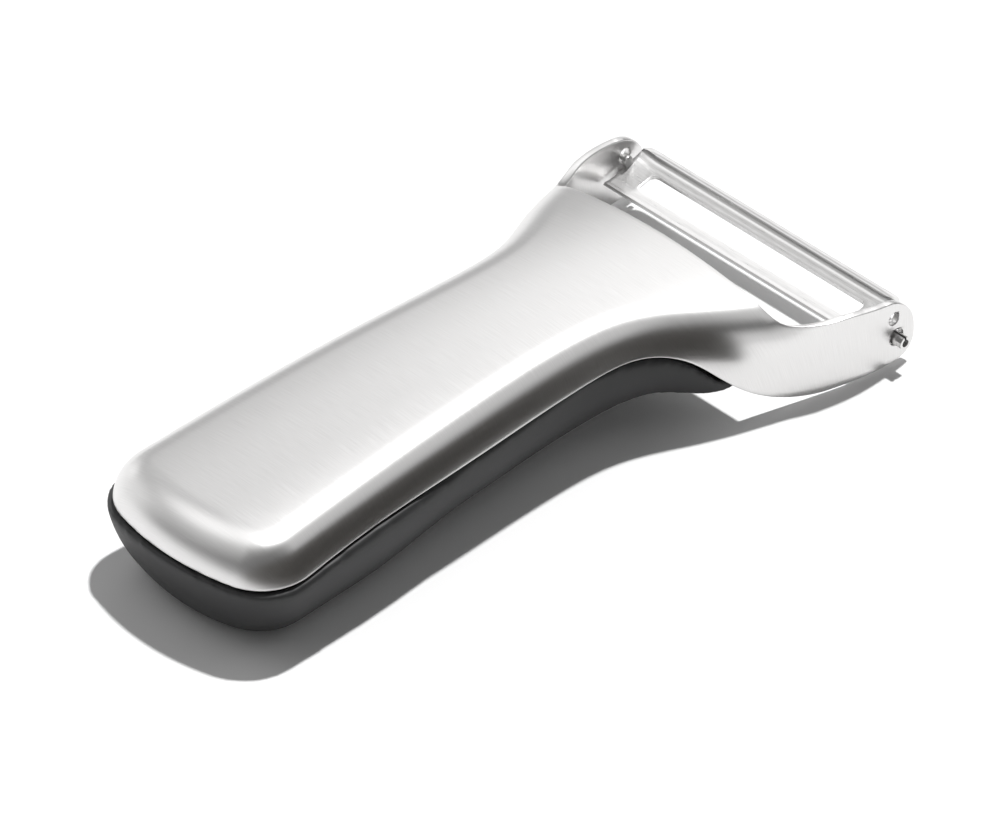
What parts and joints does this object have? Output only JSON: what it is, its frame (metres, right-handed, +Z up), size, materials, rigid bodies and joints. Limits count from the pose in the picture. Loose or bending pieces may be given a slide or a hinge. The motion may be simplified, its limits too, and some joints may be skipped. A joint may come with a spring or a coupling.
{
  "type": "vegetable peeler",
  "caption": "Yoke vegetable peeler with a pressed metal top and arms, a soft rubber grip below, and a slotted blade that swings between the arms.",
  "frame": {"origin": "on the table plane, below the middle of the overall length and width, with the peeler lying on its grip", "axes": "+X from the butt of the handle to the blade, +Y towards the left arm seen from the butt, +Z up through the metal top"},
  "size_m": [0.1504, 0.0746, 0.0263],
  "materials": {
    "shell_steel": "fine brushed grain across the length",
    "boss_steel": "plain turned",
    "screw_steel": "bright zinc",
    "core_plastic": "moulded, dark",
    "grip_rubber": "soft matte black",
    "blade_steel": "bright pressed strip",
    "pin_steel": "rolled, bright"
  },
  "bodies": {
    "handle": {"steel_shell": "shell_steel", "shell_bosses": "boss_steel", "core_screws": "screw_steel", "grip_core": "core_plastic", "soft_grip": "grip_rubber"},
    "blade_swing": {"blade": "blade_steel", "pivot_pin_left": "pin_steel", "pivot_pin_right": "pin_steel"}
  },
  "joints": [
    {"name": "blade_swivel", "type": "hinge", "parent": "handle", "child": "blade_swing", "pos_m": [0.0707, 0, 0.0061], "axis": [0, 1, 0], "range_deg": [0, 16.8]}
  ]
}
